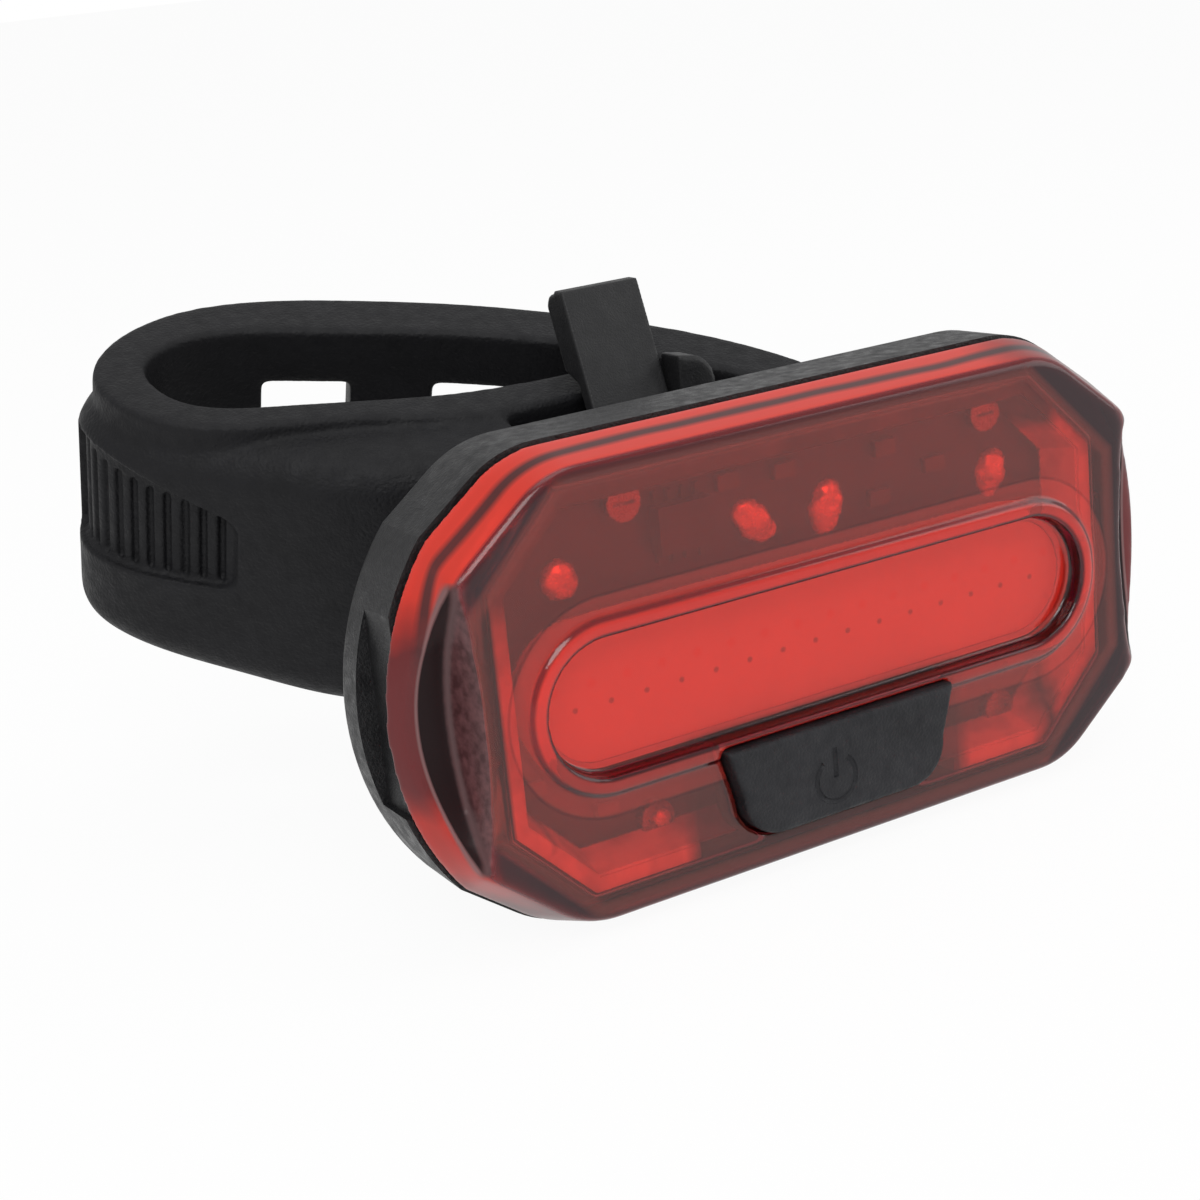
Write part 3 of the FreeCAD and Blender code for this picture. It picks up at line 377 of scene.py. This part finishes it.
def past_octagon(tree, side, rise, long, high, corner):
    """Distance outside a rectangle with cut corners; below 0 within it."""
    cut = maths(tree, "MULTIPLY", maths(tree, "SUBTRACT", maths(tree, "ADD", side, rise), corner), 0.7)
    return largest(tree, maths(tree, "SUBTRACT", side, long), maths(tree, "SUBTRACT", rise, high), cut)


def scoop_shares(tree, side, rise, depth):
    """The scoop as a whole, its floor, the ridge that ends it and the valley in it."""
    bow = maths(tree, "MULTIPLY", maths(tree, "MULTIPLY", rise, rise), SCOOP_BOW)
    past_ridge = maths(tree, "SUBTRACT", maths(tree, "ADD", side, bow), SCOOP_OUT)
    cut = both(tree, rising(tree, side, SCOOP_IN - 0.1, SCOOP_IN + 0.1),
               falling(tree, rise, SCOOP_HALF_HIGH, SCOOP_HALF_HIGH + 0.6),
               rising(tree, depth, 0.05, 0.3), falling(tree, depth, SCOOP_DEEP, SCOOP_DEEP + 0.15))
    scoop = both(tree, cut, falling(tree, past_ridge, -0.1, 0.1))
    floor = both(tree, scoop, rising(tree, side, SCOOP_FLOOR - 0.2, SCOOP_FLOOR + 0.5))
    ridge = both(tree, cut, near(tree, past_ridge, 0.0, 0.04, 0.2))
    valley = both(tree, scoop, near(tree, side, SCOOP_FLOOR + 0.1, 0.02, 0.3))
    return scoop, floor, ridge, valley


def window_shares(tree, across, up, depth):
    """The window's wall, the lip, the line at the lip's foot, the apron round it and its line."""
    middle = from_window(tree, across, up)
    on_face = falling(tree, depth, 0.1, 0.2)
    wall = both(tree, near(tree, middle, WINDOW_RADIUS + 0.05, 0.22, 0.42),
                falling(tree, depth, 0.9, 1.0))
    lip = both(tree, near(tree, middle, (WINDOW_RADIUS + LIP_RADIUS) / 2, 0.5, 0.65),
               falling(tree, depth, -0.2, 0.0))
    foot = both(tree, near(tree, middle, LIP_RADIUS + 0.08, 0.1, 0.3), falling(tree, depth, 0.05, 0.2))
    apron = both(tree, near(tree, middle, APRON_MIDDLE, 0.7, 1.0), on_face)
    line = both(tree, near(tree, middle, APRON_RADIUS, 0.03, 0.2), on_face)
    return wall, lip, foot, apron, line


def edge_red(tree, across, up):
    """The edge's red with painted light: bright along the top and at the lower left corner, painted dim
    elsewhere.
    """
    drift = drifting(tree, 130, 3, 6.0)
    height = maths(tree, "ADD", up, drift)
    top = both(tree, rising(tree, height, 5.0, 9.5),
               falling(tree, maths(tree, "ADD", across, drift), 17.0, 27.0))
    corner = both(tree, near(tree, height, -9.5, 2.5, 6.5), falling(tree, across, -22.0, -18.0))
    lit = largest(tree, top, maths(tree, "MULTIPLY", corner, 0.7), 0.12)
    return mixed(tree, lit, DIM_EDGE, LIT_EDGE)


def make_red_lens():
    """Clear red face in a border of painted shade, an edge with painted light and the seal's line, and
    scoops and a window with painted shade and highlights.
    """
    material, tree, shader = new_material("red_lens")
    across, depth, up = lamp_place(tree)
    side = size_of(tree, across)
    rise = size_of(tree, up)
    scoop, scoop_floor, ridge, valley = scoop_shares(tree, side, rise, depth)
    window_wall, lip, lip_foot, apron, apron_line = window_shares(tree, across, up, depth)

    aside = size_of(tree, maths(tree, "ADD", across, HOLLOW_SHIFT))
    past_hollow = past_octagon(tree, aside, rise, HOLLOW_LONG, HOLLOW_HIGH, HOLLOW_CORNER)
    # The lens's walls round the bay are given painted shade, dark red
    past_bay = past_octagon(tree, side, rise, BAY_LONG, BAY_HIGH, BAY_CORNER)
    bay_wall = both(tree, rising(tree, past_bay, -0.5, -0.1), falling(tree, past_bay, 0.5, 0.8),
                    rising(tree, depth, 0.9, 1.1))
    border = both(tree, rising(tree, past_hollow, -0.5, 1.0), falling(tree, depth, 0.25, 0.4))
    edge = both(tree, rising(tree, past_hollow, 0.0, 0.4), rising(tree, depth, 0.25, 0.5),
                without(tree, scoop), without(tree, bay_wall))
    wavy_depth = maths(tree, "ADD", depth, drifting(tree, 60, 2, 1.4))
    # The dark seal seen through the edge, painted on with its painted shade, only along the upper part
    seal_and_shade_line = both(tree, near(tree, wavy_depth, SEAL_DEPTH, 0.25, 0.8), edge,
                     rising(tree, up, 2.0, 9.0))
    # Painted shade: a dark line along the edge just behind the face
    edge_line = both(tree, near(tree, depth, 0.35, 0.12, 0.35), rising(tree, past_hollow, 0.5, 0.8))
    # Painted shade round the button's opening
    button_wall = both(tree, near(tree, across, 0.0, BUTTON_HALF_LONG, BUTTON_HALF_LONG + 1.5),
                       falling(tree, up, BUTTON_TOP, BUTTON_TOP + 0.7), rising(tree, depth, 0.1, 0.25))

    # The border round the hollow is given painted shade, dark red
    colour = mixed(tree, border, CLEAR_RED, BORDER_SHADE_RED)
    colour = mixed(tree, edge, colour, edge_red(tree, across, up))
    # Painted shade for the scoops, mottled and greyed by a painted reflection
    scoop_shade_and_sheen = ramp(tree, noise(tree, 1400, 4), (0.35, (0.07, 0.022, 0.024)), (0.65, (0.17, 0.066, 0.07)))
    for share, paint in ((maths(tree, "MULTIPLY", seal_and_shade_line, 0.92), (0.03, 0.012, 0.014)),
                         (edge_line, (0.30, 0.008, 0.014)),
                         (bay_wall, (0.03, 0.006, 0.01)),
                         (apron, (1.0, 0.10, 0.07)),
                         (maths(tree, "MULTIPLY", apron_line, 0.6), (0.3, 0.02, 0.025)),
                         (lip, (1.0, 0.07, 0.05)),
                         # Painted shade on the window's wall and in the crease at the lip's foot
                         (window_wall, (0.10, 0.0, 0.005)),
                         (lip_foot, (0.16, 0.003, 0.01)),
                         (button_wall, (0.12, 0.006, 0.012)),
                         # Scoops: painted shade, near black on the floor, a painted highlight along the
                         # valley and on the ridge
                         (scoop, scoop_shade_and_sheen),
                         (scoop_floor, (0.014, 0.003, 0.004)),
                         (valley, (0.12, 0.06, 0.062)),
                         (ridge, (0.30, 0.15, 0.15))):
        colour = mixed(tree, share, colour, paint)
    tree.links.new(colour, shader.inputs["Base Color"])

    clear = adjusted(tree, "SUBTRACT", 0.97, (edge, 0.55), (border, 0.30), (scoop, 0.72), (bay_wall, 0.4),
                     (lip, 0.2), (apron, 0.12))
    rough = adjusted(tree, "ADD", 0.03, (edge, 0.24), (border, 0.12), (scoop, 0.28),
                     (noise(tree, 500, 3), 0.03))
    gloss = adjusted(tree, "SUBTRACT", 0.36, (scoop_floor, 0.28))
    tree.links.new(clear, shader.inputs["Transmission Weight"])
    tree.links.new(rough, shader.inputs["Roughness"])
    tree.links.new(gloss, shader.inputs["Specular IOR Level"])
    shader.inputs["IOR"].default_value = 1.5
    bump(tree, shader, noise(tree, 5000, 3), 0.000006)
    return material


red_lens = make_red_lens()


DIE_STEP = 3.2


def make_strip_gel():
    """Pale gel over two rows of dies, which show through as dark and as warm specks."""
    material, tree, shader = new_material("strip_gel")
    across, _, up = lamp_place(tree)

    def specks(height, shift, size):
        turn = maths(tree, "ADD", maths(tree, "DIVIDE", across, DIE_STEP), shift)
        off = maths(tree, "MULTIPLY", maths(tree, "SUBTRACT", maths(tree, "FRACT", turn), 0.5), DIE_STEP)
        far = length(tree, off, maths(tree, "SUBTRACT", up, height))
        return falling(tree, far, size * 0.5, size)

    base = ramp(tree, noise(tree, 150, 3), (0.3, (0.93, 0.70, 0.52)), (0.7, (0.97, 0.76, 0.58)))
    dark = specks(-1.2, 0.5, 0.3)
    warm = specks(0.6, 0.0, 0.5)
    colour = mixed(tree, maths(tree, "MULTIPLY", warm, 0.35), base, (1.0, 0.30, 0.12))
    colour = mixed(tree, maths(tree, "MULTIPLY", dark, 0.6), colour, (0.22, 0.06, 0.04))
    tree.links.new(colour, shader.inputs["Base Color"])
    tree.links.new(ramp(tree, noise(tree, 800, 3), (0.3, 0.3), (0.7, 0.42)), shader.inputs["Roughness"])
    bump(tree, shader, noise(tree, 700, 2), 0.00002)
    return material


strip_gel = make_strip_gel()

# The material of each node of the model
FINISH = {
    "front_lens": red_lens,
    "lens_gasket": seal_rubber,
    "reflector_tray": white_plastic,
    "cob_substrate": strip_base,
    "cob_phosphor": strip_gel,
    "led_dies": strip_base,
    "circuit_board": board_mask,
    "inner_frame": frame_plastic,
    "board_screws": screw_steel,
    "solder_joints": solder_tin,
    "controller_chip": chip_epoxy,
    "chip_parts": part_ceramic,
    "power_button": button_rubber,
    "switch_body": chip_epoxy,
    "switch_plunger": seal_rubber,
    "rear_case": case_plastic,
    "battery_upper": cell_sleeve,
    "battery_lower": cell_sleeve,
    "contact_springs": spring_steel,
    "contact_plates": spring_steel,
    "contact_bridge": spring_steel,
    "strap": strap_rubber,
    "bracket_base": lever_plastic,
    "release_lever": lever_plastic,
}
for name, finish in FINISH.items():
    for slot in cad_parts[name].material_slots:
        slot.material = finish


# Pieces

def pick(*pieces):
    """Only these pieces stay selected, and the last one is the active one."""
    bpy.ops.object.select_all(action="DESELECT")
    for piece in pieces:
        piece.select_set(True)
    bpy.context.view_layer.objects.active = pieces[-1]


def apply(piece, kind, **settings):
    pick(piece)
    modifier = piece.modifiers.new(kind.lower(), kind)
    for name, value in settings.items():
        setattr(modifier, name, value)
    bpy.ops.object.modifier_apply(modifier=modifier.name)


def settle(piece):
    """The place, turn and size of a piece go into its mesh."""
    pick(piece)
    bpy.ops.object.transform_apply(location=True, rotation=True, scale=True)


def faces_out(piece):
    pick(piece)
    bpy.ops.object.mode_set(mode="EDIT")
    bpy.ops.mesh.select_all(action="SELECT")
    bpy.ops.mesh.remove_doubles(threshold=WELD)
    bpy.ops.mesh.normals_make_consistent(inside=False)
    bpy.ops.object.mode_set(mode="OBJECT")


def lean(piece, angle):
    """Turn a piece's mesh about the axis across the lamp."""
    piece.rotation_euler = (angle, 0, 0)
    settle(piece)


def moulded(name, source, fineness, leaning=0.0, within=None):
    """A copy of a node's solid, cut upright into even small faces so that its edges can be rounded."""
    piece = bpy.data.objects.new(name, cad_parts[source].data.copy())
    scene.collection.objects.link(piece)
    lean(piece, -leaning)
    faces_out(piece)
    if within:
        apply(piece, "BOOLEAN", operation="INTERSECT", solver="EXACT", object=within)
    apply(piece, "REMESH", mode="VOXEL", voxel_size=fineness)
    lean(piece, leaning)
    return piece


def rounded(piece, passes, keep=None):
    """Round the edges off, all over or by the share that keep gives for a point."""
    settings = dict(factor=0.5, iterations=passes)
    if keep:
        group = piece.vertex_groups.new(name="round")
        for vertex in piece.data.vertices:
            group.add([vertex.index], keep(vertex.co), "REPLACE")
        settings["vertex_group"] = "round"
    apply(piece, "SMOOTH", **settings)
    if keep:
        piece.vertex_groups.clear()
    pick(piece)
    bpy.ops.object.shade_smooth()


def thinned(piece, share):
    """Leave this share of a piece's faces."""
    apply(piece, "DECIMATE", ratio=share)
    pick(piece)
    bpy.ops.object.shade_smooth()


def finished(piece, finish, body, slot, *nodes):
    """Give a piece its material, its body and the nodes that it stands for; its slot is not used."""
    piece.data.materials.clear()
    piece.data.materials.append(finish)
    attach(piece, body)
    if nodes:
        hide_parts(*nodes)


POST_TILT = math.radians(20)
GRIP_END = -31.5
GRIP_LOW = -4.6
GRIP_HIGH = 7.8
GRIP_DEEP = 19.5


def on_post(point):
    """A point of the strap in its own lean: across, out from the rider's side and along the post."""
    forward = point.y * math.cos(POST_TILT) + point.z * math.sin(POST_TILT)
    along = point.z * math.cos(POST_TILT) - point.y * math.sin(POST_TILT)
    return point.x / MM, forward / MM, along / MM


def make_strap():
    """Soft rubber strap: full rounded edges, but crisp ribs in the grip."""
    strap = moulded("rubber_strap", "strap", 0.00021, POST_TILT)

    def soft(point):
        across, forward, along = on_post(point)
        in_grip = across < GRIP_END and GRIP_LOW < along < GRIP_HIGH and forward < GRIP_DEEP
        return 0.06 if in_grip else 1.0
    rounded(strap, 36, soft)
    thinned(strap, 0.36)
    finished(strap, strap_rubber, "bracket", "strap_rubber", "strap")


CONE_BACK_RADIUS = 43.0 * MM
CONE_FRONT_RADIUS = 31.6 * MM
CONE_LONG = 9.0 * MM
CONE_MIDDLE = LENS_FACE + 2.2
CONE_FLATNESS = 0.78
TIP_ACROSS = 31.0
TIP_UP = 6.5
SKIRT_DEPTH = 3.9


def make_tip_rounding():
    """Flattened cone that shaves only the outer tips of the lens, beside its scoops."""
    bpy.ops.object.select_all(action="DESELECT")
    bpy.ops.mesh.primitive_cone_add(vertices=96, radius1=CONE_BACK_RADIUS, radius2=CONE_FRONT_RADIUS,
                                    depth=CONE_LONG, rotation=(math.pi / 2, 0, 0),
                                    location=Vector((0, CONE_MIDDLE, LAMP_MIDDLE)) * MM)
    cone = bpy.context.object
    settle(cone)
    cone.location = (0, 0, (1 - CONE_FLATNESS) * LAMP_MIDDLE * MM)
    cone.scale = (1, 1, CONE_FLATNESS)
    settle(cone)
    return cone


def make_lens():
    """Moulded lens with softened edges, most of all at the tips of its scoops and on the skirt."""
    rounding = make_tip_rounding()
    lens = moulded("lens_moulding", "front_lens", 0.00022, within=rounding)
    bpy.data.objects.remove(rounding)

    def soft(point):
        at_tip = abs(point.x) > TIP_ACROSS * MM and abs(point.z / MM - LAMP_MIDDLE) > TIP_UP
        on_skirt = point.y / MM - LENS_FACE > SKIRT_DEPTH
        return 1.0 if at_tip or on_skirt else 0.3
    rounded(lens, 45, soft)
    thinned(lens, 0.42)
    finished(lens, red_lens, "front_module", "red_lens", "front_lens")


def make_bracket():
    bracket = moulded("bracket_moulding", "bracket_base", 0.00025)
    rounded(bracket, 4)
    finished(bracket, lever_plastic, "bracket", "bracket_plastic", "bracket_base")


def make_lever():
    lever = moulded("lever_moulding", "release_lever", 0.00014)
    rounded(lever, 5)
    finished(lever, lever_plastic, "lever", "lever_plastic", "release_lever")


SYMBOL = Vector((-1.3, BUTTON_FACE - 0.12, -11.7 + LAMP_MIDDLE)) * MM
SYMBOL_RADIUS = 1.9 * MM
SYMBOL_STROKE = 0.27 * MM
SYMBOL_OPENING = 0.62
BAR_LONG = 2.5 * MM
BAR_RISE = 1.35 * MM


def make_symbol_cutter():
    """On and off sign: a ring open at the top with a bar through the opening."""
    bpy.ops.object.select_all(action="DESELECT")
    bpy.ops.mesh.primitive_torus_add(location=SYMBOL, rotation=(math.pi / 2, 0, 0),
                                     major_radius=SYMBOL_RADIUS, minor_radius=SYMBOL_STROKE,
                                     major_segments=48, minor_segments=12)
    ring = bpy.context.object
    settle(ring)
    bpy.ops.object.mode_set(mode="EDIT")
    shape = bmesh.from_edit_mesh(ring.data)
    for vertex in shape.verts:
        off = vertex.co - SYMBOL
        vertex.select_set(off.z > 0 and abs(off.x) < SYMBOL_OPENING * off.z)
    shape.select_flush(True)
    bmesh.update_edit_mesh(ring.data)
    bpy.ops.mesh.delete(type="VERT")
    bpy.ops.mesh.select_all(action="DESELECT")
    bpy.ops.mesh.select_non_manifold()
    bpy.ops.mesh.edge_face_add()
    bpy.ops.object.mode_set(mode="OBJECT")
    bpy.ops.object.select_all(action="DESELECT")
    bpy.ops.mesh.primitive_cylinder_add(vertices=12, radius=SYMBOL_STROKE, depth=BAR_LONG,
                                        location=SYMBOL + Vector((0, 0, BAR_RISE)))
    bar = bpy.context.object
    settle(bar)
    return ring, bar


def make_button():
    """Rubber button with the sign pressed into its face."""
    button = moulded("button_moulding", "power_button", 0.00013)
    rounded(button, 4)
    for cutter in make_symbol_cutter():
        faces_out(cutter)
        apply(button, "BOOLEAN", operation="DIFFERENCE", solver="EXACT", object=cutter)
        bpy.data.objects.remove(cutter)
    pick(button)
    bpy.ops.object.shade_smooth_by_angle(angle=math.radians(40))
    finished(button, button_rubber, "button", "button_rubber", "power_button")


RIM_DEPTH = 2.75
RIM_HALF_LONG = 27.7 * MM
RIM_HALF_HIGH = 14.6 * MM
RIM_CORNER = 5.6 * MM
RIM_SLOPE_IN = 1.0 * MM
RIM_SLOPE_BACK = 3.2 * MM
RIM_THICK = 0.3 * MM


def make_reflector_rim():
    """White sloping rim that runs from the frame's front edge down to the board."""
    bpy.ops.object.select_all(action="DESELECT")
    bpy.ops.mesh.primitive_plane_add(size=2, rotation=(math.pi / 2, 0, 0),
                                     location=Vector((0, LENS_FACE + RIM_DEPTH, LAMP_MIDDLE)) * MM)
    rim = bpy.context.object
    rim.name = "reflector_rim"
    rim.scale = (RIM_HALF_LONG, RIM_HALF_HIGH, 1)
    settle(rim)
    bpy.ops.object.mode_set(mode="EDIT")
    bpy.ops.mesh.select_all(action="SELECT")
    bpy.ops.mesh.bevel(offset=RIM_CORNER, segments=1, affect="VERTICES")
    bpy.ops.mesh.select_all(action="SELECT")
    bpy.ops.mesh.inset(thickness=RIM_SLOPE_IN, depth=0)
    bpy.ops.transform.translate(value=(0, RIM_SLOPE_BACK, 0))
    bpy.ops.mesh.delete(type="FACE")
    bpy.ops.object.mode_set(mode="OBJECT")
    faces_out(rim)
    apply(rim, "SOLIDIFY", thickness=RIM_THICK, offset=0)
    pick(rim)
    bpy.ops.object.shade_smooth_by_angle(angle=math.radians(20))
    finished(rim, frame_plastic, "front_module", "frame_plastic")


# Each joint: across and up from the lamp's middle, half width, half height and tilt
BLOBS = ((-20.8, 8.0, 1.6, 1.5, 0.0), (-2.8, 8.7, 2.2, 1.4, 0.7), (4.2, 8.3, 1.4, 2.2, 0.3),
         (21.4, 7.7, 1.4, 2.1, 0.3), (-14.3, -12.9, 1.0, 1.0, 0.0))
BLOB_HALF_DEEP = 1.15
BLOB_PROUD = 0.1
LUMP_SIZE = 1.4 * MM
LUMP_HEIGHT = 0.75 * MM


def make_solder():
    """Lumpy hand-laid joints on the board."""
    lumps = []
    surface = bpy.data.textures.new("lumps", "CLOUDS")
    surface.noise_scale = LUMP_SIZE
    for across, up, half_wide, half_high, tilt in BLOBS:
        bpy.ops.object.select_all(action="DESELECT")
        place = Vector((across, BOARD_FACE - BLOB_PROUD, up + LAMP_MIDDLE)) * MM
        bpy.ops.mesh.primitive_ico_sphere_add(subdivisions=4, radius=MM, location=place)
        lump = bpy.context.object
        lump.scale = (half_wide, BLOB_HALF_DEEP, half_high)
        lump.rotation_euler = (0, tilt, 0)
        settle(lump)
        apply(lump, "DISPLACE", texture=surface, texture_coords="GLOBAL", strength=LUMP_HEIGHT,
              mid_level=0.5)
        lumps.append(lump)
    pick(*lumps)
    bpy.ops.object.join()
    solder = bpy.context.object
    solder.name = "solder_lumps"
    pick(solder)
    bpy.ops.object.shade_smooth()
    finished(solder, solder_tin, "front_module", "solder", "solder_joints")


# Floor, backdrop and light

FLOOR_DROP = 0.2 * MM
FLOOR_WIDE = 6

# Each light: name, place, aim, width and height, watts
LIGHTS = (("key", (-0.25, -0.45, 0.45), (-0.01, -0.02, 0), (0.40, 0.30), 1.9),
          ("fill", (0.45, -0.30, 0.20), (0, -0.02, 0), (0.35, 0.35), 0.6),
          ("top", (0.05, -0.05, 0.55), (0, 0, 0), (0.40, 0.30), 0.6))


def make_floor():
    """Pale paper that looks evenly white to the camera but keeps the lamp's shadow."""
    bpy.ops.object.select_all(action="DESELECT")
    bpy.ops.mesh.primitive_plane_add(size=FLOOR_WIDE, location=(0, 0, cad_low[2] - FLOOR_DROP))
    floor = bpy.context.object
    floor.name = "floor"
    material, tree, shader = new_material("floor_paper")
    shader.inputs["Base Color"].default_value = (0.9, 0.9, 0.9, 1)
    shader.inputs["Roughness"].default_value = 0.8
    shader.inputs["Specular IOR Level"].default_value = 0.1
    path = node(tree, "ShaderNodeLightPath")
    seen = largest(tree, path.outputs["Is Camera Ray"], path.outputs["Is Transmission Ray"],
                   path.outputs["Is Glossy Ray"])
    glow = node(tree, "ShaderNodeEmission", Color=(1, 1, 1, 1), Strength=1.0)
    blend = node(tree, "ShaderNodeMixShader")
    tree.links.new(maths(tree, "MULTIPLY", seen, 0.94), blend.inputs[0])
    tree.links.new(shader.outputs[0], blend.inputs[1])
    tree.links.new(glow.outputs[0], blend.inputs[2])
    tree.links.new(blend.outputs[0], tree.nodes["Material Output"].inputs["Surface"])
    floor.data.materials.append(material)


def make_backdrop():
    """White room: full strength where it is seen, 0.7 in the gloss and 0.5 as light."""
    world = bpy.data.worlds.new("studio")
    scene.world = world
    world.use_nodes = True
    tree = world.node_tree
    ground = tree.nodes["Background"]
    ground.inputs["Color"].default_value = (1, 1, 1, 1)
    path = node(tree, "ShaderNodeLightPath")
    open_view = largest(tree, path.outputs["Is Camera Ray"], path.outputs["Is Transmission Ray"])
    level = maths(tree, "ADD", maths(tree, "MULTIPLY", open_view, 0.5), 0.5)
    level = largest(tree, level, maths(tree, "MULTIPLY", path.outputs["Is Glossy Ray"], 0.7))
    tree.links.new(level, ground.inputs["Strength"])


make_camera()
make_strap()
make_lens()
make_bracket()
make_lever()
make_button()
make_reflector_rim()
make_solder()
make_floor()
make_backdrop()
for light in LIGHTS:
    area_light(*light)

scene.view_settings.view_transform = "Standard"
